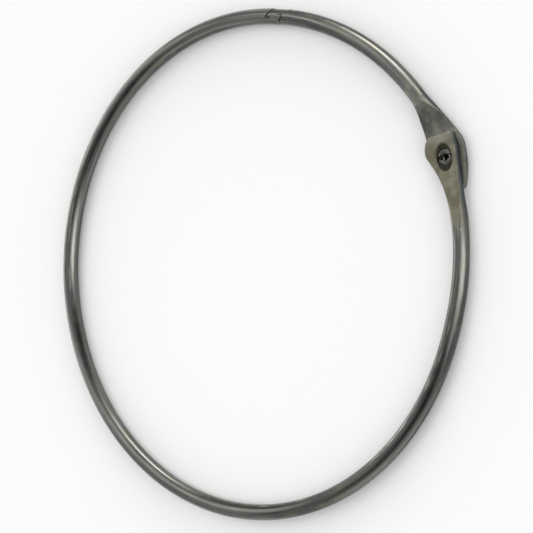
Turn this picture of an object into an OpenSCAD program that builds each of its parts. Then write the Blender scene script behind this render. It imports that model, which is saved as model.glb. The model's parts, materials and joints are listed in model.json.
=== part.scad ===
// Jailer ring: a large hinged key ring of round steel wire.
// A long arm and a short gate turn on one hollow rivet, where both wires are
// forged into half-lap paddles. Their other ends close in a toothed lap catch.
// The ring lies flat, with +Z up and the rivet on the +X axis.

/* [Ring] */
// Outer diameter of the closed ring
ring_od = 152.4; // [146:0.2:158]
// Diameter of the round wire
wire_d = 4.76; // [4.5:0.02:5]
// Angle from the rivet to the middle of the catch
gate_span = 59.8; // [58:0.2:65]
// Radius that the gate's wire is bent to
gate_bend_r = 76; // [75:0.1:78]
// How far outside the ring's circle the gate's wire aims at the rivet
gate_out = 2.8; // [2.4:0.1:3.2]
// Outward bend near the end of the long arm, in degrees
arm_bend = 2; // [1.6:0.1:2.4]
// Angle before the rivet at which that bend begins
arm_bend_at = 39; // [36:1:42]
// Radius of the wire inside that bend
arm_bend_r = 120; // [110:1:130]

/* [Long arm's paddle] */
// Greatest half width on the side towards the middle of the ring
arm_in_w = 6.1; // [5.7:0.1:6.5]
// Greatest half width on the outer side
arm_out_w = 5; // [4.6:0.1:5.4]
// Length from the rivet back to where the wire is still round
arm_forged = 24; // [22:0.5:26]
// How far beyond the rivet the paddle is widest
arm_wide_at = 2; // [1.5:0.5:3]
// Length from the rivet to the blunt end
arm_end = 6.9; // [6.5:0.1:7.3]
// How far that end is cut off the square, in degrees
arm_slant = 13; // [9:1:17]

/* [Gate's paddle] */
// Greatest half width on the side towards the middle of the ring
gate_in_w = 5.3; // [5:0.1:5.6]
// Greatest half width on the outer side
gate_out_w = 5.7; // [5.3:0.1:5.9]
// Length from the rivet back to where the wire is still round
gate_forged = 20; // [18:0.5:22]
// How far before the rivet its inner side is at full width
gate_in_at = 7; // [6:0.5:8]
// How far before the rivet its outer side is at full width
gate_out_at = 3; // [2:0.5:4]
// Length from the rivet to the tip of its rounded end
gate_end = 9.8; // [9.4:0.1:10.2]

/* [Hinge] */
// How far the rivet lies outside the ring's circle
rivet_out = 1.8; // [1.5:0.1:2.2]
// Thickness of each paddle, measured from the plane where they meet
paddle_t = 1.9; // [1.8:0.02:2]
// Radius of the rivet's shank
shank_r = 1.6; // [1.5:0.05:1.7]
// Radius of the hole down the hollow end of the rivet
hollow_r = 0.9; // [0.8:0.05:1]
// Depth of that hole
hollow_deep = 2.8; // [2.4:0.1:3]
// Outer radius of the rolled rim
rim_r = 2.45; // [2.3:0.05:2.5]
// Width of the split that parts the rim into two lobes
split_w = 1.3; // [1.1:0.1:1.5]
// Depth of the split below the rim
split_deep = 0.6; // [0.4:0.1:0.8]
// Radius of the formed head under the gate
head_r = 3.2; // [3:0.1:3.4]
// Half width of the oval dish around the rim
dish_w = 2.85; // [2.75:0.05:3]
// Half length of that dish
dish_l = 4.35; // [4.2:0.05:4.5]
// Depth of the dish at its middle
dish_deep = 0.75; // [0.7:0.01:0.8]
// Turn of the dish from the run of the wire, in degrees
dish_turn = -9; // [-12:1:0]

/* [Catch] */
// Length of the lap along the wire
lap_l = 5.6; // [5:0.1:6.2]
// Length of each tooth
tooth_l = 1.3; // [1.1:0.1:1.5]
// Height of each tooth over the middle of the wire
tooth_h = 0.5; // [0.4:0.05:0.6]
// How much thinner than the wire's radius the gate's tongue is ground
tongue_thin = 0.12; // [0.1:0.01:0.16]
// Radius of the round cut at the inner corner of the arm's tongue
corner_cut = 0.9; // [0.7:0.1:1.1]

/* [Fits] */
// Running clearance between the shank and the gate's hole, on the radius
pivot_clear = 0.05; // [0.03:0.01:0.08]
// Gap between the two paddles' faces
face_gap = 0.04; // [0.03:0.01:0.06]
// Gap under the gate, above the formed head
head_gap = 0.03; // [0.02:0.01:0.04]
// Gap between the two ends in the catch
catch_gap = 0.12; // [0.1:0.01:0.16]
// Gap around the rolled rim in its seat
seat_gap = 0.1; // [0.05:0.01:0.14]

/* [Hidden] */
$fn = 128;
steel = [0.62, 0.62, 0.58];
worn_steel = [0.53, 0.53, 0.46];

wire_r = wire_d / 2;
ring_r = ring_od / 2 - wire_r;
degrees_per_radian = 180 / PI;

// The rivet, and the catch's middle, about the ring's own centre.
rivet = [ring_r + rivet_out, 0];
catch = on_circle(ring_r, gate_span);
// The gate's eye reaches furthest out, so the whole ring moves back by half of that.
eye_out = ring_r + (gate_out + rivet_out) / 2 + gate_out_w;
ring_x = -(eye_out - ring_od / 2) / 2;

// The gate's arc runs through the catch and through a point beside the rivet.
gate_aim = [ring_r + gate_out, 0];
gate_chord = gate_aim - catch;
gate_rise = sqrt(pow(gate_bend_r, 2) - pow(norm(gate_chord) / 2, 2));
gate_side = [gate_chord[1], -gate_chord[0]] / norm(gate_chord);
gate_centre = (gate_aim + catch) / 2 + gate_side * gate_rise;
gate_turn = heading(rivet - gate_centre);

// The long arm's tail keeps the ring's radius beyond a short gentler bend.
bend_turn = arm_bend * ring_r / (arm_bend_r - ring_r);
bend_from = -arm_bend_at;
bend_to = bend_from + bend_turn;
bend_centre = on_circle(ring_r - arm_bend_r, bend_from);
tail_centre = bend_centre + on_circle(arm_bend_r - ring_r, bend_to);
tail_turn = heading(rivet - tail_centre);

// What joins a round wire starts a little inside it and is a hair thinner.
hair = 0.09;
core_r = wire_r - hair;
core_overlap = 1;
bend_over = core_overlap / arm_bend_r * degrees_per_radian;
// A forged section squares up from the wire's circle to this crown half height.
crown_gain = 1.3;
// Share of the forging over which the face comes down to its full depth.
face_run = 0.6;
// Rings along a paddle's body and its end, and points along its sides and faces.
body_rings = 16;
end_rings = 9;
side_steps = 6;
face_steps = 9;
steepest = 70;
// How blunt the ends are: 2 is an ellipse, and more is squarer.
arm_in_blunt = 2;
arm_out_blunt = 20;
gate_in_blunt = 2.2;
gate_out_blunt = 1.4;
// How the widths grow along the forging: 1 is an even swell, and more is a late one.
arm_growth = 2.8;
gate_growth = 1.3;
// A paddle's own length past its cut end, if the end were a full curve.
end_extra = 0.35;
// The room that each end needs to turn under or over the other wire.
swing_room = 0.7;
arm_room = arm_end + swing_room;
gate_room = gate_end + swing_room;

// The oval dish is a slice off a torus that lies on its side.
dish_tube_r = (pow(dish_w, 2) + pow(dish_deep, 2)) / (2 * dish_deep);
dish_long_r = (pow(dish_l, 2) + pow(dish_deep, 2)) / (2 * dish_deep);
seat_drop = 0.1;
seat_z = paddle_t - dish_deep - seat_drop;
// The rivet's head stays a little above what the ring lies on.
head_lift = 0.02;
head_z = -paddle_t - head_gap;
head_low = head_lift - wire_r;
head_edge = 0.15;
head_slope = 0.5;

// The catch's flanks are arcs about the rivet, so that the ends part as the gate turns.
lap_turn = lap_l / ring_r * degrees_per_radian;
tip_reach = norm(on_circle(ring_r, gate_span + lap_turn / 2) - rivet);
root_reach = norm(on_circle(ring_r, gate_span - lap_turn / 2) - rivet);
// The inner corner of the arm's tongue, where its flank meets the inside of the wire.
inner_r = ring_r - wire_r;
corner_x = (pow(inner_r, 2) - pow(root_reach, 2) + pow(rivet[0], 2)) / (2 * rivet[0]);
tongue_corner = [corner_x, sqrt(pow(inner_r, 2) - pow(corner_x, 2))];
catch_room = 9;
catch_extra = 4;
through = 4 * wire_d;

function on_circle(r, angle) = [r * cos(angle), r * sin(angle)];
function heading(v) = atan2(v[1], v[0]);
function limit(v, low, high) = max(low, min(high, v));
function ease(t) = pow(limit(t, 0, 1), 2) * (3 - 2 * limit(t, 0, 1));
function blunt_end(share, blunt) = pow(1 - pow(limit(share, 0, 1), blunt), 1 / blunt);

// Half width at s, the distance from the rivet back along the wire.
function half_width(s, widest, from, full_at, reach, growth, blunt) =
    (core_r + (widest - core_r) * pow(limit((from - s) / (from - full_at), 0, 1), growth))
        * blunt_end((full_at - s) / (full_at + reach + end_extra), blunt);

// Where a section's flat face meets its rounded side, as an angle on its ellipse.
function corner(height, crown) = limit(asin(limit(height / crown, -1, 1)), -steepest, steepest);

// Angles once round a section: outer side, face, inner side, back.
function round_angles(low, high) = concat(
    [for (i = [0:side_steps - 1]) low + (high - low) * i / side_steps],
    [for (i = [0:face_steps - 1]) high + (180 - 2 * high) * i / face_steps],
    [for (i = [0:side_steps - 1]) 180 - high + (high - low) * i / side_steps],
    [for (i = [0:face_steps - 1]) 180 - low + (180 + 2 * low) * i / face_steps]
);

// One section: an ellipse with its top cut off at high and its bottom at low.
function section(in_w, out_w, crown, low, high) = [
    for (a = round_angles(corner(low, crown), corner(high, crown)))
        [(cos(a) > 0 ? out_w : in_w) * cos(a), limit(crown * sin(a), low, high)]
];

// Distances of the rings: even along the body, then closer and closer to the end.
function ring_places(from, reach) = concat(
    [for (i = [0:body_rings]) from + core_overlap - (from + core_overlap) * i / body_rings],
    [for (i = [1:end_rings]) -reach * sin(90 * i / end_rings)]
);

// A round wire forged flat on both sides: its back rises to the plane where the
// paddles meet. It follows an arc about the origin, with the rivet towards +X.
module paddle(bend_r, widths, full_at, blunts, from, reach, room, growth, slant) {
    places = ring_places(from, reach);
    count = 2 * side_steps + 2 * face_steps;
    rings = [for (s = places)
        let (t = limit((from - s) / (from - max(full_at)), 0, 1))
        let (drop = sin(90 * limit(t / face_run, 0, 1)))
        let (high = core_r - (core_r - paddle_t) * drop)
        let (low = face_gap / 2 - (core_r + face_gap / 2) * ease((s - room) / (from - room)))
        let (in_w = half_width(s, widths[0], from, full_at[0], reach, growth, blunts[0]))
        let (out_w = half_width(s, widths[1], from, full_at[1], reach, growth, blunts[1]))
        let (angle = -s / bend_r * degrees_per_radian)
        let (lean = slant * limit(-s / reach, 0, 1))
        let (across = on_circle(1 / cos(lean), angle - lean))
        [for (p = section(in_w, out_w, core_r + crown_gain * t * t, low, high))
            concat(on_circle(bend_r, angle) + across * p[0], p[1])]];
    points = [for (ring = rings) for (p = ring) p];
    last = (len(places) - 1) * count;
    walls = [for (k = [0:len(places) - 2]) for (i = [0:count - 1]) for (half = [0, 1])
        let (a = k * count + i, b = k * count + (i + 1) % count)
        half == 0 ? [a, b, b + count] : [a, b + count, a + count]];
    start_cap = [[for (i = [0:count - 1]) count - 1 - i]];
    end_cap = [[for (i = [0:count - 1]) last + i]];
    polyhedron(points = points, faces = concat(walls, start_cap, end_cap));
}

// An arc of round wire about a centre in the ring's plane.
module wire_arc(centre, bend_r, from, to, r = wire_r) {
    translate([centre[0], centre[1], 0])
        rotate([0, 0, from])
            rotate_extrude(angle = to - from)
                translate([bend_r, 0])
                    circle(r);
}

module about_rivet(r) {
    translate(rivet)
        circle(r);
}

// The band between two distances from the rivet.
module rivet_band(near, far) {
    difference() {
        about_rivet(far);
        about_rivet(near);
    }
}

module around_catch() {
    translate(catch)
        circle(catch_room);
}

// What the long arm's end gives up: the gate's full wire, its tongue and its tooth.
module catch_cut_in_arm() {
    intersection() {
        around_catch();
        union() {
            about_rivet(root_reach + catch_gap);
            difference() {
                about_rivet(tip_reach + catch_gap);
                circle(ring_r - catch_gap / 2);
                intersection() {
                    rivet_band(root_reach, root_reach + catch_gap + tooth_l);
                    circle(ring_r + tooth_h);
                }
            }
            difference() {
                rivet_band(tip_reach - tooth_l - catch_gap, tip_reach + catch_gap);
                circle(ring_r - tooth_h - catch_gap);
            }
        }
    }
    translate(tongue_corner)
        circle(corner_cut);
}

// What the gate's end gives up: all past its tip, and the arm's tongue and tooth.
module catch_cut_in_gate() {
    intersection() {
        around_catch();
        union() {
            rivet_band(tip_reach, tip_reach + 2 * catch_room);
            difference() {
                rivet_band(root_reach, tip_reach + catch_gap);
                difference() {
                    about_rivet(tip_reach + catch_room);
                    circle(ring_r + catch_gap / 2);
                }
                difference() {
                    rivet_band(tip_reach - tooth_l, tip_reach + catch_room);
                    circle(ring_r - tooth_h);
                }
            }
            intersection() {
                rivet_band(root_reach, root_reach + tooth_l + 2 * catch_gap);
                circle(ring_r + tooth_h + catch_gap);
            }
        }
    }
}

module upright(height = through) {
    linear_extrude(height, center = true)
        children();
}

module long_arm() {
    color(steel)
        translate([ring_x, 0, wire_r])
            difference() {
                union() {
                    wire_arc([0, 0], ring_r, gate_span - lap_turn, 360 + bend_from);
                    wire_arc(bend_centre, arm_bend_r, bend_from - bend_over, bend_to + bend_over, core_r);
                    wire_arc(tail_centre, ring_r, bend_to, tail_turn - arm_forged / ring_r * degrees_per_radian);
                    translate([tail_centre[0], tail_centre[1], 0])
                        rotate([0, 0, tail_turn])
                            paddle(
                                ring_r, [arm_in_w, arm_out_w], [-arm_wide_at, -arm_wide_at],
                                [arm_in_blunt, arm_out_blunt],
                                arm_forged, arm_end, gate_room, arm_growth, arm_slant
                            );
                }
                upright()
                    catch_cut_in_arm();
                translate([rivet[0], rivet[1], 0])
                    rivet_hole(shank_r);
                translate([rivet[0], rivet[1], seat_z])
                    cylinder(h = through, r = rim_r + seat_gap);
                translate([rivet[0], rivet[1], paddle_t - dish_deep + dish_long_r])
                    rotate([0, 90, tail_turn + dish_turn])
                        rotate_extrude()
                            translate([dish_long_r - dish_tube_r, 0])
                                circle(dish_tube_r);
            }
}

module rivet_hole(r) {
    cylinder(h = through, r = r, center = true);
}

module gate() {
    color(worn_steel)
        translate([ring_x, 0, wire_r])
            difference() {
                union() {
                    translate([gate_centre[0], gate_centre[1], 0])
                        rotate([180, 0, gate_turn])
                            paddle(
                                gate_bend_r, [gate_in_w, gate_out_w], [gate_in_at, gate_out_at],
                                [gate_in_blunt, gate_out_blunt],
                                gate_forged, gate_end, arm_room, gate_growth, 0
                            );
                    intersection() {
                        gate_wire(wire_r);
                        upright()
                            about_rivet(root_reach);
                    }
                    intersection() {
                        gate_wire(wire_r - tongue_thin);
                        upright()
                            rivet_band(root_reach - core_overlap, tip_reach);
                    }
                }
                upright()
                    catch_cut_in_gate();
                translate([rivet[0], rivet[1], 0])
                    rivet_hole(shank_r + pivot_clear);
            }
}

// The gate's round wire, from its forging to a little past the catch.
module gate_wire(r) {
    start = gate_turn + gate_forged / gate_bend_r * degrees_per_radian;
    wire_arc(gate_centre, gate_bend_r, start, gate_span + lap_turn / 2 + catch_extra, r);
}

// A semi-tubular rivet: a low head under the gate, and a rim rolled out into the
// dish, split across so that its two lobes lie along the wire.
module hinge_rivet() {
    roll_r = (rim_r - hollow_r) / 2;
    color(steel)
        translate([ring_x + rivet[0], rivet[1], wire_r])
            difference() {
                rotate_extrude()
                    union() {
                        translate([0, head_z])
                            square([shank_r, seat_z - head_z]);
                        polygon([[0, head_low], [head_r - head_slope, head_low],
                            [head_r, head_z - head_edge], [head_r, head_z], [0, head_z]]);
                        intersection() {
                            translate([hollow_r + roll_r, seat_z])
                                circle(roll_r);
                            translate([0, seat_z])
                                square([rim_r, roll_r]);
                        }
                    }
                translate([0, 0, seat_z - hollow_deep])
                    cylinder(h = through, r = hollow_r);
                rotate([0, 0, tail_turn + dish_turn])
                    translate([0, 0, seat_z - split_deep + through / 2])
                        cube([through, split_w, through], center = true);
            }
}

long_arm();
gate();
hinge_rivet();
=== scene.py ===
import json
import math
from types import SimpleNamespace

import bpy
import numpy as np
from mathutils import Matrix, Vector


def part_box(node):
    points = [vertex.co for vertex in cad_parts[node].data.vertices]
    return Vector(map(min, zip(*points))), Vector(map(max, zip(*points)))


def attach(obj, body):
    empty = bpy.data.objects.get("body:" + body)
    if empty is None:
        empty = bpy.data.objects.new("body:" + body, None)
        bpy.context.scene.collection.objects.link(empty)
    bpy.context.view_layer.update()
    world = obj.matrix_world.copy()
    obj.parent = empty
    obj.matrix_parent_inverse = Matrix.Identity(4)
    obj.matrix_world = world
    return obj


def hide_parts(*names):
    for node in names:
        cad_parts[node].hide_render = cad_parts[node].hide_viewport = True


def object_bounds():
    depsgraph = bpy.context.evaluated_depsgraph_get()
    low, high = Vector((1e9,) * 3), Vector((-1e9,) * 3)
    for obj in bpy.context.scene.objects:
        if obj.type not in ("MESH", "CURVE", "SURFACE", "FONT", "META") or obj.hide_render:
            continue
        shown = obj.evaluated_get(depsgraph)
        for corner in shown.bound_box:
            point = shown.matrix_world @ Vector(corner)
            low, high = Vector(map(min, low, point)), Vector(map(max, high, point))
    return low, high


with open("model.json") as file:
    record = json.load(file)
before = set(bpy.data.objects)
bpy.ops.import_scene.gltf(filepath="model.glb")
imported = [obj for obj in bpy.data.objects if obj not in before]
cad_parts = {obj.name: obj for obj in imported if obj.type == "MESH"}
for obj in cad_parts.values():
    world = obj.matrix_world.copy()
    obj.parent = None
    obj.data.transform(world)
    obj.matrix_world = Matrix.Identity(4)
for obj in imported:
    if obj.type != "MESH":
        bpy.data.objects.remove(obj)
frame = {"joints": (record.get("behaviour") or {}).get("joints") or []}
cad_low, cad_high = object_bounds()

MM = 0.001

# The ring's own sizes, from the frame, in millimetres.
arm_low, arm_high = (np.array(corner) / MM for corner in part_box("long_arm"))
WIRE_R = (arm_high[2] - arm_low[2]) / 2
RING_R = (arm_high[1] - arm_low[1]) / 2 - WIRE_R
MIDDLE = np.array([arm_low[0] + RING_R + WIRE_R, 0.0])
PIVOT = np.array(frame["joints"][0]["pos_m"]) / MM
RIVET = PIVOT[:2] - MIDDLE

# What the smith chose, in millimetres and radians. Heights are over the plane where the
# two paddles meet, and runs are along a wire, from the rivet.

# The two wires: how far round the ring the gate reaches, the radius it is bent to, how
# far outside the circle it aims, and the long arm's gentle bend near its end.
GATE_SPAN = math.radians(59.8)
GATE_BEND_R = 76.0
GATE_OUT = 2.8
ARM_BEND = math.radians(2)
ARM_BEND_AT = math.radians(39)
ARM_BEND_R = 120.0

# Each paddle: its half widths, towards the ring's middle and outwards, with the run at
# which each is full and the power that closes it; the power by which it swells; how far
# it reaches past the rivet; and the run back to where the wire is round.
ARM_PADDLE = SimpleNamespace(
    widths=(6.1, 5.0), full_at=(-2, -2), blunts=(2, 20), growth=2.8, reach=6.9, forged=24.0)
GATE_PADDLE = SimpleNamespace(
    widths=(5.3, 5.7), full_at=(7, 3), blunts=(2.2, 1.4), growth=1.3, reach=9.8, forged=20.0)
ARM_SLANT = math.radians(13)    # how far the arm's end is cut off the square
PADDLE_T = 1.9                  # a paddle's thickness
FACE_GAP = 0.04                 # between the two paddles
CROWN_GAIN = 1.3                # how much the section grows taller before it is cut flat
FACE_RUN = 0.6                  # the share of the forging in which the face is reached
END_EXTRA = 0.35                # how far past its reach the outline would close
END_ROUND = 0.35                # rounding of the paddle's end
EDGE_ROUND = 0.3                # rounding of the paddle's long edges
EDGE_LEAST = 0.05               # the share of it that is left on the round wire
EDGE_RISE = 3                   # it is full after one part in this many of the forging
UNDER_SHARE = 0.6               # the share of it on the side where the paddles meet
SWING_ROOM = 1.1                # left past the other paddle before the ramp under it

# The catch: a lap with a tooth on each tongue.
LAP = 5.6
LAP_LEAD = 6.0                  # the run in which the sections turn to meet its flanks
TOOTH_L = 1.3
TOOTH_H = 0.5
CATCH_GAP = 0.12
TONGUE_THIN = 0.12              # how much the gate's tongue is ground down
CORNER_CUT = 0.9                # the round cut at the corner of the arm's tongue

# The oval dish, and the rivet in it.
DISH_W = 2.85
DISH_L = 4.35
DISH_DEEP = 0.75
DISH_BRIM = 0.12                # rounding of its brim
DISH_TURN = math.radians(-9)
DISH_RUN = 12                   # it lies within this run of the rivet
SEAT_DROP = 0.1                 # how far under the dish's floor the rim's seat is
SEAT = PADDLE_T - DISH_DEEP - SEAT_DROP
SEAT_GAP = 0.1
SHANK_R = 1.6
PIVOT_CLEAR = 0.05
HOLLOW_R = 0.9
HOLLOW_DEEP = 2.8
HOLLOW_BEVEL = (0.15, 0.2)      # at its floor: how far in, and how high
HOLLOW_POINT = 0.1              # how much deeper its floor is at the axis
RIM_R = 2.45
SPLIT_W = 1.3
SPLIT_DEEP = 0.6
HEAD_R = 3.2
HEAD_GAP = 0.03
HEAD_LIFT = 0.02                # how far the head stays off what the ring lies on
HEAD_SLOPE = (0.5, 0.22)        # how far in its slope starts, and how far below its top
HEAD_BEVEL = (0.1, 0.12)        # the slope ends, and the same for the bevel above that
NICK = 0.03                     # the small bevels where the rim and the head begin
NICK_DROP = 0.01                # how far under its seat the rim begins
AXIS_R = 0.02                   # where a turned profile starts, just off its axis
CUT_REACH = 4                   # how far a cutter reaches to each side
NO_LIMIT = 9                    # further than any section reaches

# The wear, and where dirt and painted shade lie, in millimetres of run or depth.
FADE = 5                        # half the run in which forging dulls the wire
GATE_DULLED = 8                 # how far past its forging the gate is dulled
# The rivet's rim darkens below this height over its seat, fully at the seat and down the hole,
# with dirt that also paints the hole's shade.
RIM_UNDARKENED = 0.6                 # how far over its seat the rivet's rim is clean
# Dirt by the catch's gaps also paints the shade there.
DIRT_AND_SHADE_REACH = 0.4                # how far dirt spreads from the catch's gaps
DIRT_AND_SHADE_DEPTH = 0.3                # how sunk the surface counts as there, from 0 to 1

# Reflectances of the finish.
# The wire's dark and light streaks: partly the drawn grain, partly painted reflection bands.
WIRE_DARK = (0.066, 0.07, 0.069, 1)
WIRE_LIGHT = (0.195, 0.2, 0.188, 1)
WIRE_WARM = (0.15, 0.143, 0.108, 1)
ARM_KHAKI = (0.148, 0.141, 0.1, 1)
ARM_PALE = (0.24, 0.235, 0.175, 1)
GATE_KHAKI = (0.128, 0.131, 0.113, 1)
GATE_PALE = (0.232, 0.233, 0.2, 1)
RIVET_DULL = (0.08, 0.08, 0.074, 1)
RIVET_PALE = (0.125, 0.125, 0.118, 1)
RUST = (0.19, 0.142, 0.108, 1)
# Dark dirt, which also paints the shade in the dish, the rivet's hole, its split rim and the
# catch's gaps.
DIRT_AND_SHADE = (0.045, 0.045, 0.032, 1)
# A dark bluish painted shade on the forged flanks that face away from above.
FLANK_SHADE = (0.075, 0.084, 0.088, 1)
# Bright worn metal, which on the edges also paints a highlight.
RUBBED_AND_SHEEN = (0.3, 0.295, 0.25, 1)

# How rough each surface is, from where its noise is low to where it is high.
WIRE_ROUGH = (0.1, 0.24)
PADDLE_ROUGH = (0.36, 0.6)
# The roughness of that dirt and painted shade.
DIRT_AND_SHADE_ROUGH = 0.85

# Each noise: its scale, detail and roughness. The first three have their scale in waves
# for each metre, and the other two for each unit of the way along and round the wire,
# which is lengthened along it. Then the band in which a noise turns from none to full.
BLOTCH_NOISE = (210.0, 4, 0.6)
SPECK_NOISE = (720.0, 2, 0.5)
PIT_NOISE = (3200.0, 3, 0.6)
STREAK_NOISE = (1.6, 4, 0.6)
HAIR_NOISE = (9.0, 5, 0.7)
LENGTHENING = 14.0
BLOTCH_BAND = (0.4, 0.66)
SPECK_BAND = (0.58, 0.7)
STREAK_BAND = (0.36, 0.64)

# Where the finish changes, from none to full, and how strongly at the most.
# The flanks' painted shade:
FLANK_SHADE_BAND = (0.75, 0.3)        # by how far the surface faces up
END_BAND = (-0.003, -0.0075)    # by the run along the wire, in metres
END_SHARE = 0.5
# Edges, worn bright and given a painted highlight:
EDGE_BAND = (0.51, 0.56)        # by how sharply the surface bulges
EDGE_SHARE = 0.7
# Where dark dirt lies, which also paints the shade of the recesses and gaps:
DIRT_AND_SHADE_BAND = (0.0, 0.3)         # by how sunk the surface is
DIRT_AND_SHADE_SHARE = (0.8, 1.0)        # off the blotches, and on them
WARM_SHARE = 0.5
RUST_SHARE = 0.5

# Bump of the pits, and the share of it that hairlines have.
BUMP_STRENGTH = 0.25
BUMP_DEPTH = 0.00006
HAIR_SHARE = 0.12

# The soft lamps of the room: which way each one is, as a turn from +X and a height in
# degrees, how bright it looks, how tightly it is drawn, and its tint.
LAMPS = (
    (-28, 8, 2.4, 30, (1, 1, 0.99)),
    (-28, 30, 2.6, 30, (1, 1, 0.99)),
    (-29, 51, 1.6, 30, (1, 1, 0.99)),
    (113, 52, 1.4, 14, (1, 0.98, 0.93)),
    (68, 9, 4.8, 34, (1, 0.99, 0.95)),
    (58, 6, 1.9, 8, (1, 0.98, 0.88)),
    (150, 10, 2.1, 16, (1, 1, 0.98)),
    (-120, 16, 0.75, 7.4, (1, 0.97, 0.85)),
)
# Where the room is shaded: turn, height, depth and tightness.
SHADES = ((-108, 50, 0.9, 5.7), (11, 33, 0.85, 10), (115, 27, 0.8, 20))
# The room's own light overhead and to the sides, and the heights between which it turns.
OVERHEAD, SIDEWAYS = (0.6, 0.605, 0.635, 1), (0.68, 0.685, 0.72, 1)
SKY_FROM, SKY_TO = -0.1, 0.8

# The camera, in metres and degrees, and its lens in millimetres.
CAMERA_AT = (0.37021, -0.16939, 0.5153)
CAMERA_TURN = (1.2397, 38.2098, -22.3331)
LENS = 148.6
FLOOR_SIZE = 6

# How finely the skins are drawn: points round a section and round a turned profile, and
# the run between rings, in millimetres.
FACE_POINTS = 44
SIDE_POINTS = 14
CORNER_TURN = math.radians(28)
TURN_POINTS = 96
ROLL_POINTS = 24
END_RINGS = 9
FORGED_STEP = 0.22
WIRE_STEP = 1.2
LAP_STEP = 0.2
JUMP = 0.002                    # the run in which a flank of the catch stands up
RUN_SAMPLES = 4000              # how many runs are tried to find one
SHARP = math.radians(38)        # edges sharper than this aren't shaded smooth


# ---------------------------------------------------------------- curves

def on_circle(angle, radius=1.0):
    """Points at an angle on a circle about the ring's middle, as rows."""
    return np.stack([np.cos(angle), np.sin(angle)], -1) * np.asarray(radius)[..., None]


def heading(v):
    """The angle at which a plane vector points."""
    return math.atan2(v[1], v[0])


def ease(t):
    """The smooth step 3tt - 2ttt between 0 and 1."""
    t = np.clip(t, 0, 1)
    return t * t * (3 - 2 * t)


def soft_min(a, b, width):
    """The lower of two heights, joined by a parabola where they are within width."""
    share = np.clip(0.5 + 0.5 * (b - a) / width, 0, 1)
    return b + (a - b) * share - width * share * (1 - share)


def soft_max(a, b, width):
    """The higher of two heights, joined in the same way."""
    return -soft_min(-np.asarray(a), -np.asarray(b), width)


# Where each wire's arcs have their middles. The arm's main arc is the ring itself. The
# bend is tangent to it, the tail is tangent to the bend, and it ends at the rivet.
CATCH = on_circle(np.array(GATE_SPAN), RING_R)
BEND_TURN = ARM_BEND * RING_R / (ARM_BEND_R - RING_R)
BEND_MID = on_circle(np.array(-ARM_BEND_AT), RING_R - ARM_BEND_R)
TAIL_MID = BEND_MID + on_circle(np.array(BEND_TURN - ARM_BEND_AT), ARM_BEND_R - RING_R)
TAIL_TURN = heading(RIVET - TAIL_MID)
TAIL_RUN = (TAIL_TURN - BEND_TURN + ARM_BEND_AT) * RING_R
BEND_RUN = BEND_TURN * ARM_BEND_R

# The gate's arc runs from the catch to its aim, outside the rivet.
gate_aim = np.array([RING_R + GATE_OUT, 0.0])
gate_chord = gate_aim - CATCH
gate_side = np.array([gate_chord[1], -gate_chord[0]]) / np.linalg.norm(gate_chord)
gate_rise = math.sqrt(GATE_BEND_R**2 - np.dot(gate_chord, gate_chord) / 4)
GATE_MID = (gate_aim + CATCH) / 2 + gate_side * gate_rise
GATE_TURN = heading(RIVET - GATE_MID)


def arm_line(s):
    """The arm's middle line: three tangent arcs, by the run s back from the rivet.
    Gives the point and the angle that points outwards there."""
    s = np.asarray(s, float)
    tail = TAIL_TURN - s / RING_R
    bend = BEND_TURN - ARM_BEND_AT - (s - TAIL_RUN) / ARM_BEND_R
    main = -ARM_BEND_AT - (s - TAIL_RUN - BEND_RUN) / RING_R
    in_tail, in_bend = s < TAIL_RUN, s < TAIL_RUN + BEND_RUN
    angle = np.where(in_tail, tail, np.where(in_bend, bend, main))
    middle = np.where(in_tail[:, None], TAIL_MID, np.where(in_bend[:, None], BEND_MID, 0))
    radius = np.where(in_tail | ~in_bend, RING_R, ARM_BEND_R)
    return middle + on_circle(angle, radius), angle


def gate_line(s):
    """The gate's middle line: one arc, by the run s back from the rivet."""
    angle = GATE_TURN + np.asarray(s, float) / GATE_BEND_R
    return GATE_MID + on_circle(angle, np.full_like(angle, GATE_BEND_R)), angle


# ---------------------------------------------------------------- sections

def round_angles():
    """Angles once round a section, even across its top and bottom faces."""
    edge = math.cos(CORNER_TURN)
    flat = np.arccos(np.linspace(edge, -edge, FACE_POINTS + 1))[:-1]
    side = np.linspace(math.pi - CORNER_TURN, math.pi + CORNER_TURN, SIDE_POINTS + 1)[:-1]
    return np.concatenate([flat, side, flat + math.pi, side + math.pi])


def blunt_end(share, blunt):
    """The superellipse (1 - share^blunt)^(1/blunt), which closes a paddle's outline."""
    return (1 - np.clip(share, 0, 1) ** blunt) ** (1 / blunt)


def half_width(s, paddle, k):
    """A paddle's half width on side k: a power curve up to full_at, then a blunt end."""
    full_at = paddle.full_at[k]
    swell = np.clip((paddle.forged - s) / (paddle.forged - full_at), 0, 1) ** paddle.growth
    past = (full_at - s) / (full_at + paddle.reach + END_EXTRA)
    return (WIRE_R + (paddle.widths[k] - WIRE_R) * swell) * blunt_end(past, paddle.blunts[k])


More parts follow.
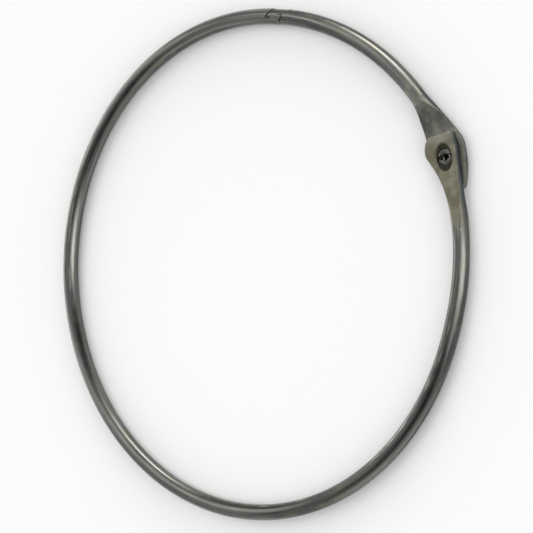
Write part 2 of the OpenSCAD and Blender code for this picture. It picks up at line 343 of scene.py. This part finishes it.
def forged_sections(s, paddle, beside):
    """Sections of a forged wire: an ellipse cut by a face above and one below, with
    rounded corners. The face above falls by a sine from the wire's top to the paddle's.
    The face below is a smooth step, from the wire's underside to the plane where the
    paddles meet, and it begins past the reach of the one beside it. Gives the offsets
    outwards and up, as a grid of s by angle."""
    end = np.clip((s + paddle.reach) / END_ROUND, 0, 1)
    inset = END_ROUND * (1 - np.sqrt(1 - (1 - end) ** 2))
    t = np.clip((paddle.forged - s) / (paddle.forged - max(paddle.full_at)), 0, 1)
    drop = np.sin(math.pi / 2 * np.clip(t / FACE_RUN, 0, 1))
    high = WIRE_R - (WIRE_R - PADDLE_T) * drop - inset * (s < 0)
    room = beside.reach + SWING_ROOM
    low = FACE_GAP / 2 - (WIRE_R + FACE_GAP / 2) * ease((s - room) / (paddle.forged - room))
    crown = WIRE_R + CROWN_GAIN * t * t
    inner, outer = half_width(s, paddle, 0) - inset, half_width(s, paddle, 1) - inset
    a = round_angles()
    across = np.where(np.cos(a) > 0, outer[:, None], inner[:, None]) * np.cos(a)
    up = crown[:, None] * np.sin(a)
    rounding = EDGE_ROUND * (EDGE_LEAST + np.clip(t * EDGE_RISE, 0, 1))[:, None]
    up = soft_min(up, high[:, None], rounding)
    return across, soft_max(up, low[:, None], rounding * UNDER_SHARE)


def skin(line, s, across, up, lean, flip=1):
    """Carries sections along a line. A ring may lean from square by an angle, and flip
    is -1 for a section that hangs upside down. Gives the points as a grid, in
    millimetres, in the part's frame."""
    middle, angle = line(s)
    side = on_circle(angle - lean, 1 / np.cos(lean))
    plan = middle[:, None, :] + across[..., None] * side[:, None, :] + MIDDLE
    return np.concatenate([plan, up[..., None] * flip + WIRE_R], -1)


def shell(name, grid):
    """A tube of rings with a fan at each end, as one closed shell."""
    rings, around = grid.shape[:2]
    points = np.concatenate([grid.reshape(-1, 3), grid[[0, -1]].mean(1)]) * MM
    start = np.arange(rings - 1)[:, None] * around
    here, there = start + np.arange(around), start + (np.arange(around) + 1) % around
    walls = np.stack([here, there, there + around, here + around], -1).reshape(-1, 4)
    first = np.arange(around)
    last = first + (rings - 1) * around
    fan_a = np.stack([np.roll(first, -1), first, np.full(around, rings * around)], -1)
    fan_b = np.stack([last, np.roll(last, -1), np.full(around, rings * around + 1)], -1)
    mesh = bpy.data.meshes.new(name)
    faces = walls.tolist() + fan_a.tolist() + fan_b.tolist()
    mesh.from_pydata(points.tolist(), [], faces)
    mesh.shade_smooth()
    mesh.set_sharp_from_angle(angle=SHARP)
    piece = bpy.data.objects.new(name, mesh)
    bpy.context.scene.collection.objects.link(piece)
    return piece


def store(piece, label, kind, field, values):
    """Stores a value, or a vector, for each point of a piece."""
    made = piece.data.attributes.new(label, kind, "POINT")
    made.data.foreach_set(field, values.astype(np.float32).ravel())


def mark_surface(piece, run, around, forging, sinking):
    """Stores for each point where it is on the wire: its run and the way round it, how
    far it is forged, from 0 on round wire to 1 on the flat of a paddle, and how far it
    has sunk into a recess, from 0 at its brim to 1 at its floor, which sets the dark
    dirt that also paints the shade there."""
    rings = len(run)
    way = np.zeros((rings * around + 2, 3))
    a = 2 * math.pi * np.arange(around) / around
    way[:-2, 0] = np.repeat(run * MM, around)
    way[:-2, 1] = np.tile(np.cos(a), rings)
    way[:-2, 2] = np.tile(np.sin(a), rings)
    way[-2:, 0] = run[[0, -1]] * MM
    store(piece, "way", "FLOAT_VECTOR", "vector", way)
    for label, amount in (("forged", forging[:, None]), ("sunk", sinking)):
        whole = np.broadcast_to(amount, (rings, around))
        each = np.concatenate([whole.ravel(), whole[[0, -1], 0]])
        store(piece, label, "FLOAT", "value", each)


def dress(piece, material, body, node):
    """Gives a finished skin its material, and its place among the solids."""
    piece.data.materials.clear()
    piece.data.materials.append(material)
    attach(piece, body)
    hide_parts(node)


# ---------------------------------------------------------------- the catch

def run_at(line, reach, span):
    """The run s, within a span, at which a line is this far from the rivet."""
    s = np.linspace(*span, RUN_SAMPLES)
    gap = np.linalg.norm(line(s)[0] - RIVET, axis=1)
    order = np.argsort(gap)
    return float(np.interp(reach, gap[order], s[order]))


def reach_at(angle):
    """How far from the rivet the ring's circle is at an angle round it."""
    return float(np.linalg.norm(on_circle(np.array(angle), RING_R) - RIVET))


# How far the gate's tip and the root of its tongue are from the rivet, and the runs
# between which each wire's catch is found.
LAP_TURN = LAP / RING_R
TIP_REACH = reach_at(GATE_SPAN + LAP_TURN / 2)
ROOT_REACH = reach_at(GATE_SPAN - LAP_TURN / 2)
FLANK_LEAN = GATE_SPAN / 2
ARM_TIP = TAIL_RUN + BEND_RUN + (2 * math.pi - ARM_BEND_AT - GATE_SPAN + LAP_TURN) * RING_R
ARM_CATCH = (ARM_TIP - 20, ARM_TIP + 4)
GATE_CATCH = (60, 90)


def stepped(s, steps, full):
    """A limit that jumps at each (run, value) step: the value of the last step passed."""
    limit = np.full(s.shape, float(full))
    for place, value in steps:
        limit = np.where(s >= place, value, limit)
    return limit


# ---------------------------------------------------------------- the pieces

def ring_places(paddle, flank, steps, tip):
    """Where the rings go: crowded at the paddle's end, close along the forging, wider
    along the plain wire, and close again through the catch, two at each of its steps."""
    turn = np.linspace(0, math.pi / 2, END_RINGS)
    blunt, lap = END_ROUND - paddle.reach, flank - LAP_LEAD
    places = [
        blunt - END_ROUND * np.sin(turn),
        np.arange(blunt, paddle.forged, FORGED_STEP)[1:],
        np.arange(paddle.forged, lap, WIRE_STEP),
        np.arange(lap, tip, LAP_STEP),
        [tip]]
    for place, _ in steps:
        places.append([place - JUMP, place])
    return np.unique(np.round(np.concatenate(places), 4))


def catch_dirt_and_shade(s, shoulder, tip, beside):
    """How much dirt and painted shade lie by the catch's gaps: they fall off with the run from
    the tip, and from the shoulder on the side of the wire that stands beside the other piece."""
    by_tip = ease(1 - np.abs(s - tip) / DIRT_AND_SHADE_REACH)[:, None]
    by_shoulder = ease(1 - np.abs(s - shoulder) / DIRT_AND_SHADE_REACH)[:, None] * beside
    return DIRT_AND_SHADE_DEPTH * np.maximum(by_tip, by_shoulder)


def dish_height(plan):
    """The oval dish: a slice off a torus lying on its side, as a height in the plane."""
    tube = (DISH_W**2 + DISH_DEEP**2) / (2 * DISH_DEEP)
    long_r = (DISH_L**2 + DISH_DEEP**2) / (2 * DISH_DEEP)
    turn = TAIL_TURN + DISH_TURN
    off = plan - RIVET - MIDDLE
    out = off[..., 0] * math.cos(turn) + off[..., 1] * math.sin(turn)
    along = -off[..., 0] * math.sin(turn) + off[..., 1] * math.cos(turn)
    bow = long_r - tube + np.sqrt(np.clip(tube**2 - out**2, 0, None))
    height = PADDLE_T - DISH_DEEP + long_r - np.sqrt(np.clip(bow**2 - along**2, 0, None))
    return np.where((np.abs(out) < tube) & (np.abs(along) < bow), height, NO_LIMIT)


def make_arm(material):
    """The long arm: its paddle, a gentle bend, most of the ring, and the catch's tongue."""
    first_flank = run_at(arm_line, TIP_REACH + CATCH_GAP, ARM_CATCH)
    notch_end = run_at(arm_line, TIP_REACH - TOOTH_L - CATCH_GAP, ARM_CATCH)
    tooth_at = run_at(arm_line, ROOT_REACH + CATCH_GAP + TOOTH_L, ARM_CATCH)
    tip = run_at(arm_line, ROOT_REACH + CATCH_GAP, ARM_CATCH)
    steps = [(first_flank, -TOOTH_H - CATCH_GAP), (notch_end, -CATCH_GAP / 2),
             (tooth_at, TOOTH_H)]
    s = ring_places(ARM_PADDLE, first_flank, steps, tip)
    across, up = forged_sections(s, ARM_PADDLE, GATE_PADDLE)
    outer = stepped(s, steps, NO_LIMIT)
    bevel = np.sqrt(CORNER_CUT**2 - np.clip(tip - s, 0, CORNER_CUT) ** 2) - WIRE_R
    inner = np.where(s > tip - CORNER_CUT, bevel, -NO_LIMIT)
    across = np.clip(across, inner[:, None], outer[:, None])
    lean = ARM_SLANT * np.clip(-s / ARM_PADDLE.reach, 0, 1)
    lean = lean + FLANK_LEAN * ease((s - first_flank + LAP_LEAD) / LAP_LEAD)
    grid = skin(arm_line, s, across, up, lean)
    near = (s < DISH_RUN)[:, None] & (up > 0)
    plan, height = grid[..., :2], grid[..., 2] - WIRE_R
    dished = soft_min(height, dish_height(plan), DISH_BRIM)
    grid[..., 2] = np.where(near, dished, height) + WIRE_R
    piece = shell("long_arm_skin", grid)
    # How far each point sinks into the dish, or lies by the catch's gaps, sets the dark dirt
    # that also paints the shade there.
    sinking = np.where(near, height - dished, 0) / DISH_DEEP
    sinking = np.maximum(sinking, catch_dirt_and_shade(s, first_flank, tip, across > 0))
    forging = ease((ARM_PADDLE.forged - s) / (2 * FADE))
    mark_surface(piece, s, grid.shape[1], forging, sinking)
    seat_r = RIM_R + SEAT_GAP
    carve(piece, turned_shell("cutter", [
        (SHANK_R, -CUT_REACH), (SHANK_R, SEAT), (seat_r, SEAT), (seat_r, CUT_REACH)]))
    dress(piece, material, "ring", "long_arm")


def make_gate(material):
    """The gate: its paddle under the arm's, its wire, and its tongue with a tooth."""
    root = run_at(gate_line, ROOT_REACH, GATE_CATCH)
    notch_end = run_at(gate_line, ROOT_REACH + TOOTH_L + 2 * CATCH_GAP, GATE_CATCH)
    tooth_at = run_at(gate_line, TIP_REACH - TOOTH_L, GATE_CATCH)
    tip = run_at(gate_line, TIP_REACH, GATE_CATCH)
    steps = [(root, TOOTH_H + CATCH_GAP), (notch_end, CATCH_GAP / 2), (tooth_at, -TOOTH_H)]
    s = ring_places(GATE_PADDLE, root, steps, tip)
    across, up = forged_sections(s, GATE_PADDLE, ARM_PADDLE)
    thin = np.where(s >= root, 1 - TONGUE_THIN / WIRE_R, 1)[:, None]
    across = np.clip(across * thin, stepped(s, steps, -NO_LIMIT)[:, None], None)
    lean = FLANK_LEAN * ease((s - root + LAP_LEAD) / LAP_LEAD)
    grid = skin(gate_line, s, across, up * thin, lean, flip=-1)
    piece = shell("gate_skin", grid)
    forging = ease((GATE_PADDLE.forged + GATE_DULLED - s) / (2 * FADE))
    # Dirt by the catch's gaps also paints the shade there.
    mark_surface(piece, s, grid.shape[1], forging, catch_dirt_and_shade(s, root, tip, across < 0))
    hole_r = SHANK_R + PIVOT_CLEAR
    carve(piece, turned_shell("cutter", [(hole_r, -CUT_REACH), (hole_r, CUT_REACH)]))
    dress(piece, material, "gate", "gate")


def turned_shell(name, profile):
    """A profile of (radius, height) points turned once about the rivet's axis."""
    profile = np.array(profile)
    turn = np.linspace(0, 2 * math.pi, TURN_POINTS, endpoint=False)
    radius, height = profile[:, None, 0], profile[:, None, 1]
    piece = shell(name, np.stack([
        PIVOT[0] + radius * np.cos(turn), PIVOT[1] + radius * np.sin(turn),
        WIRE_R + height + 0 * turn], -1))
    # Below the rim's seat, down the hole and the holes the rivet passes through, the surface
    # is dark, with dirt that also paints the holes' shade.
    sinking = ease((SEAT + RIM_UNDARKENED - height) / RIM_UNDARKENED) * (height > -PADDLE_T)
    mark_surface(piece, profile[:, 1], TURN_POINTS, np.ones(len(profile)), sinking)
    return piece


def carve(piece, cutter):
    """Takes a closed cutter out of a piece for good."""
    cut = piece.modifiers.new("cut", "BOOLEAN")
    cut.operation, cut.solver, cut.object = "DIFFERENCE", "MANIFOLD", cutter
    bpy.context.view_layer.update()
    finished = piece.evaluated_get(bpy.context.evaluated_depsgraph_get())
    piece.data = bpy.data.meshes.new_from_object(finished)
    piece.modifiers.clear()
    piece.data.set_sharp_from_angle(angle=SHARP)
    bpy.data.objects.remove(cutter)


def split_cutter(low, high):
    """A bar through the rivet's axis, turned with the dish and lying across its long
    way. Its corners are at plus and minus half its width along that way, and at plus
    and minus its reach across it, which is past the rim."""
    turn = TAIL_TURN + DISH_TURN
    reach, half = RIM_R + 1, SPLIT_W / 2
    out = np.array([-reach, reach, reach, -reach])
    along = np.array([-half, -half, half, half])
    ring = PIVOT[:2] + np.stack([out * math.cos(turn) - along * math.sin(turn),
                                 out * math.sin(turn) + along * math.cos(turn)], -1)
    levels = np.array([low, high]) + WIRE_R
    grid = np.empty((2, 4, 3))
    grid[..., :2], grid[..., 2] = ring, levels[:, None]
    bar = shell("cutter", grid)
    # The split's walls count as fully sunk, so the dirt there also paints the split's shade.
    mark_surface(bar, levels, 4, np.ones(2), np.ones((1, 1)))
    return bar


def make_rivet(material):
    """The hollow rivet: one turned profile of a sloped head, the shank, the rolled rim,
    which is half a circle, and the hole. The rim is then split by a bar."""
    head_top, head_low = -PADDLE_T - HEAD_GAP, HEAD_LIFT - WIRE_R
    roll_r = (RIM_R - HOLLOW_R) / 2
    roll = np.linspace(0, math.pi, ROLL_POINTS)
    middle = (HOLLOW_R + roll_r, SEAT)
    rim = np.stack([middle[0] + roll_r * np.cos(roll), middle[1] + roll_r * np.sin(roll)], -1)
    floor = SEAT - HOLLOW_DEEP
    profile = np.concatenate([
        [(AXIS_R, head_low), (HEAD_R - HEAD_SLOPE[0], head_low),
         (HEAD_R - HEAD_BEVEL[0], head_top - HEAD_SLOPE[1]),
         (HEAD_R, head_top - HEAD_BEVEL[1]), (HEAD_R - NICK, head_top),
         (SHANK_R, head_top), (SHANK_R, SEAT), (RIM_R - NICK, SEAT - NICK_DROP)],
        rim,
        [(HOLLOW_R, floor + HOLLOW_BEVEL[1]), (HOLLOW_R - HOLLOW_BEVEL[0], floor),
         (AXIS_R, floor - HOLLOW_POINT)]])
    piece = turned_shell("hinge_rivet_skin", profile)
    carve(piece, split_cutter(SEAT - SPLIT_DEEP, PADDLE_T))
    dress(piece, material, "ring", "hinge_rivet")


# ---------------------------------------------------------------- finishes

def new_group(name, ins, outs):
    """An empty node group with these sockets. Gives its tree, its input and its output."""
    tree = bpy.data.node_groups.new(name, "ShaderNodeTree")
    for label, kind, value in ins:
        made = tree.interface.new_socket(label, in_out="INPUT", socket_type=kind)
        if value is not None:
            made.default_value = value
    for label, kind in outs:
        tree.interface.new_socket(label, in_out="OUTPUT", socket_type=kind)
    return tree, tree.nodes.new("NodeGroupInput"), tree.nodes.new("NodeGroupOutput")


def plug(tree, socket, value):
    """Links a socket to the one that is given, or sets it to a plain value."""
    if isinstance(value, bpy.types.NodeSocket):
        tree.links.new(value, socket)
    else:
        socket.default_value = value


def node(tree, kind, settings=None, **values):
    """Adds a node, sets its properties, and plugs its sockets by name."""
    made = tree.nodes.new(kind)
    for key, value in (settings or {}).items():
        setattr(made, key, value)
    for key, value in values.items():
        plug(tree, made.inputs[key.replace("_", " ")], value)
    return made


def attribute(tree, label, kind="Fac"):
    return node(tree, "ShaderNodeAttribute", {"attribute_name": label}).outputs[kind]


def separate(tree, vector, axis):
    return node(tree, "ShaderNodeSeparateXYZ", Vector=vector).outputs[axis]


def noise(tree, vector, scale, detail, rough):
    """Noise about 0.5, with smaller waves on it to a given detail."""
    return node(tree, "ShaderNodeTexNoise", Vector=vector, Scale=scale, Detail=detail,
                Roughness=rough).outputs["Fac"]


def remap(tree, value, low, high):
    """A smooth step from 0 where the value is low to 1 where it is high."""
    return node(tree, "ShaderNodeMapRange", {"interpolation_type": "SMOOTHSTEP"}, Value=value,
                From_Min=low, From_Max=high, To_Min=0.0, To_Max=1.0).outputs["Result"]


def mix(tree, share, first, second):
    """A share of the second colour over the first."""
    made = node(tree, "ShaderNodeMix", {"data_type": "RGBA"})
    for k, value in zip((0, 6, 7), (share, first, second)):
        plug(tree, made.inputs[k], value)
    return made.outputs[2]


def mix_value(tree, share, first, second):
    """A share of the second value over the first."""
    made = node(tree, "ShaderNodeMix")
    for k, value in zip((0, 2, 3), (share, first, second)):
        plug(tree, made.inputs[k], value)
    return made.outputs[0]


def maths(tree, operation, first, second):
    made = node(tree, "ShaderNodeMath", {"operation": operation})
    plug(tree, made.inputs[0], first)
    plug(tree, made.inputs[1], second)
    return made.outputs["Value"]


def times(tree, first, second):
    return maths(tree, "MULTIPLY", first, second)


def vector_maths(tree, operation, first, second):
    """Sums of vectors. Scaling takes its factor, and the dot product gives a value."""
    made = node(tree, "ShaderNodeVectorMath", {"operation": operation})
    plug(tree, made.inputs[0], first)
    plug(tree, made.inputs["Scale" if operation == "SCALE" else 1], second)
    return made.outputs["Value" if operation == "DOT_PRODUCT" else "Vector"]


def streak_and_reflection_group():
    """Streaks that run along the drawn wire, partly its grain and partly painted
    reflection bands: noise stretched down its length.
    """
    tree, ins, outs = new_group(
        "streaks_and_reflection",
        [("Way", "NodeSocketVector", None), ("Lengthening", "NodeSocketFloat", 12.0)],
        [("Streak", "NodeSocketFloat"), ("Hairline", "NodeSocketFloat")])
    stretch = node(tree, "ShaderNodeCombineXYZ", X=ins.outputs["Lengthening"], Y=1.0, Z=1.0)
    along = vector_maths(tree, "MULTIPLY", ins.outputs["Way"], stretch.outputs["Vector"])
    streak = remap(tree, noise(tree, along, *STREAK_NOISE), *STREAK_BAND)
    plug(tree, outs.inputs["Streak"], streak)
    plug(tree, outs.inputs["Hairline"], noise(tree, along, *HAIR_NOISE))
    return tree


def tarnish_group():
    """Blotches of dull plating, small brown specks where it has gone through, and the
    pits of the forged steel: noise at three sizes."""
    tree, ins, outs = new_group(
        "tarnish",
        [("Place", "NodeSocketVector", None), ("Size", "NodeSocketFloat", 1.0)],
        [("Blotch", "NodeSocketFloat"), ("Specks", "NodeSocketFloat"),
         ("Pits", "NodeSocketFloat")])
    blotch, specks, pits = (
        noise(tree, ins.outputs["Place"], times(tree, ins.outputs["Size"], scale), *rest)
        for scale, *rest in (BLOTCH_NOISE, SPECK_NOISE, PIT_NOISE))
    plug(tree, outs.inputs["Blotch"], remap(tree, blotch, *BLOTCH_BAND))
    plug(tree, outs.inputs["Specks"], remap(tree, specks, *SPECK_BAND))
    plug(tree, outs.inputs["Pits"], pits)
    return tree


def worn_nickel(name, grain, tarnish, seed, dull_tone, pale_tone):
    """Nickel over steel: polished with long streaks on the wire, partly grain and partly
    painted reflection bands, and dull, khaki and pitted where it was forged. The forged
    flanks that face away from above are painted in a dark bluish shade, the edges are worn
    bright and carry a painted highlight, the far end of the paddle is worn bright, and dark
    dirt lies in the recesses and gaps, where it also paints their shade."""
    look = bpy.data.materials.new(name)
    look.use_nodes = True
    tree = look.node_tree
    body = tree.nodes["Principled BSDF"]
    way = attribute(tree, "way", "Vector")
    forged, sunk = attribute(tree, "forged"), attribute(tree, "sunk")
    surface = node(tree, "ShaderNodeNewGeometry").outputs
    place = node(tree, "ShaderNodeTexCoord").outputs["Object"]
    place = node(tree, "ShaderNodeMapping", Vector=place, Location=(seed, 0, 0)).outputs[0]
    drawn = node(tree, "ShaderNodeGroup", {"node_tree": grain}, Way=way,
                 Lengthening=LENGTHENING).outputs
    dull = node(tree, "ShaderNodeGroup", {"node_tree": tarnish}, Place=place, Size=1.0).outputs
    streak, hairline = drawn["Streak"], drawn["Hairline"]
    blotch, specks, pits = dull["Blotch"], dull["Specks"], dull["Pits"]

    # Masks: the flank of a forging turns away from above and is painted in shade, the far end
    # is past the rivet, and an edge, worn bright with a painted highlight, is where the
    # surface bulges.
    upward = separate(tree, surface["Normal"], "Z")
    # The forged flanks that face away from above are painted in shade.
    flank = times(tree, remap(tree, upward, *FLANK_SHADE_BAND), forged)
    end = times(tree, remap(tree, separate(tree, way, "X"), *END_BAND), END_SHARE)
    # Edges are worn bright and carry a painted highlight.
    edge = times(tree, remap(tree, surface["Pointiness"], *EDGE_BAND), EDGE_SHARE)
    rubbed_and_sheen = maths(tree, "MAXIMUM", times(tree, end, forged), edge)
    # Dark dirt in the recesses and gaps, which also paints their shade, a little weaker off
    # the blotches.
    dirt_and_shade_strength = mix_value(tree, blotch, *DIRT_AND_SHADE_SHARE)
    dirt_and_shade = times(tree, remap(tree, sunk, *DIRT_AND_SHADE_BAND), dirt_and_shade_strength)

    # Dark and light streaks on the wire, partly grain and partly painted reflection bands.
    wire = mix(tree, streak, WIRE_DARK, WIRE_LIGHT)
    wire = mix(tree, times(tree, blotch, WARM_SHARE), wire, WIRE_WARM)
    paddle = mix(tree, blotch, dull_tone, pale_tone)
    paddle = mix(tree, times(tree, specks, RUST_SHARE), paddle, RUST)
    colour = mix(tree, forged, wire, paddle)
    # Over the colour go the painted shade of the flanks, the worn edges with their painted
    # highlight, and the dirt that also paints shade in recesses and gaps.
    for mask, tone in ((flank, FLANK_SHADE), (rubbed_and_sheen, RUBBED_AND_SHEEN), (dirt_and_shade, DIRT_AND_SHADE)):
        colour = mix(tree, mask, colour, tone)
    plug(tree, body.inputs["Base Color"], colour)

    rough = mix_value(tree, forged, mix_value(tree, hairline, *WIRE_ROUGH),
                      mix_value(tree, pits, *PADDLE_ROUGH))
    plug(tree, body.inputs["Roughness"], mix_value(tree, dirt_and_shade, rough, DIRT_AND_SHADE_ROUGH))
    body.inputs["Metallic"].default_value = 1

    height = mix_value(tree, forged, times(tree, hairline, HAIR_SHARE), pits)
    bump = node(tree, "ShaderNodeBump", Strength=BUMP_STRENGTH, Distance=BUMP_DEPTH,
                Height=height)
    plug(tree, body.inputs["Normal"], bump.outputs["Normal"])
    return look


# ---------------------------------------------------------------- the studio

def add_camera():
    """Looks down on the ring as it lies, from the hinge's side."""
    data = bpy.data.cameras.new("camera")
    data.sensor_width = 36
    data.lens = LENS
    data.clip_end = 10
    camera = bpy.data.objects.new("camera", data)
    camera.location = CAMERA_AT
    camera.rotation_euler = [math.radians(a) for a in CAMERA_TURN]
    bpy.context.scene.collection.objects.link(camera)
    bpy.context.scene.camera = camera


def bearing(turn, height):
    """The unit vector that points along a turn from +X and a height, in degrees."""
    turn, height = math.radians(turn), math.radians(height)
    level = math.cos(height)
    return (level * math.cos(turn), level * math.sin(turn), math.sin(height))


def soft_lamp_group():
    """A round glow: the cosine of the angle from its middle, raised to its tightness."""
    tree, ins, outs = new_group(
        "soft_lamp",
        [("Direction", "NodeSocketVector", None), ("Toward", "NodeSocketVector", None),
         ("Tightness", "NodeSocketFloat", 8.0)],
        [("Glow", "NodeSocketFloat")])
    cosine = vector_maths(tree, "DOT_PRODUCT", ins.outputs["Direction"], ins.outputs["Toward"])
    lit = maths(tree, "MAXIMUM", cosine, 0.0)
    plug(tree, outs.inputs["Glow"], maths(tree, "POWER", lit, ins.outputs["Tightness"]))
    return tree


def add_studio():
    """A pale room with round patches of shade and soft round lamps, as a world."""
    world = bpy.data.worlds.new("studio")
    world.use_nodes = True
    tree = world.node_tree
    direction = node(tree, "ShaderNodeTexCoord").outputs["Generated"]
    lamp = soft_lamp_group()

    def glow(turn, height, tightness, strength):
        made = node(tree, "ShaderNodeGroup", {"node_tree": lamp}, Direction=direction,
                    Toward=bearing(turn, height), Tightness=tightness)
        return times(tree, made.outputs["Glow"], strength)

    sky = remap(tree, separate(tree, direction, "Z"), SKY_FROM, SKY_TO)
    light = mix(tree, sky, SIDEWAYS, OVERHEAD)
    for turn, height, depth, tightness in SHADES:
        light = mix(tree, glow(turn, height, tightness, depth), light, (0, 0, 0, 1))
    for turn, height, strength, tightness, tint in LAMPS:
        added = vector_maths(tree, "SCALE", tint, glow(turn, height, tightness, strength))
        light = vector_maths(tree, "ADD", light, added)
    plug(tree, tree.nodes["Background"].inputs["Color"], light)
    bpy.context.scene.world = world


def add_floor():
    """A plain pale floor under the ring, which takes its shadow."""
    bpy.ops.mesh.primitive_plane_add(size=FLOOR_SIZE, location=(0, 0, cad_low[2]))
    floor = bpy.context.object
    floor.name = "floor"
    look = bpy.data.materials.new("pale_floor")
    look.use_nodes = True
    body = look.node_tree.nodes["Principled BSDF"]
    body.inputs["Base Color"].default_value = (1, 1, 1, 1)
    body.inputs["Roughness"].default_value = 0.9
    body.inputs["Specular IOR Level"].default_value = 0
    floor.data.materials.append(look)


add_camera()
add_studio()
add_floor()
grain, tarnish = streak_and_reflection_group(), tarnish_group()
make_arm(worn_nickel("arm_nickel", grain, tarnish, 0.0, ARM_KHAKI, ARM_PALE))
make_gate(worn_nickel("gate_nickel", grain, tarnish, 0.3, GATE_KHAKI, GATE_PALE))
make_rivet(worn_nickel("rivet_nickel", grain, tarnish, 0.6, RIVET_DULL, RIVET_PALE))

bpy.context.scene.view_settings.view_transform = "Standard"
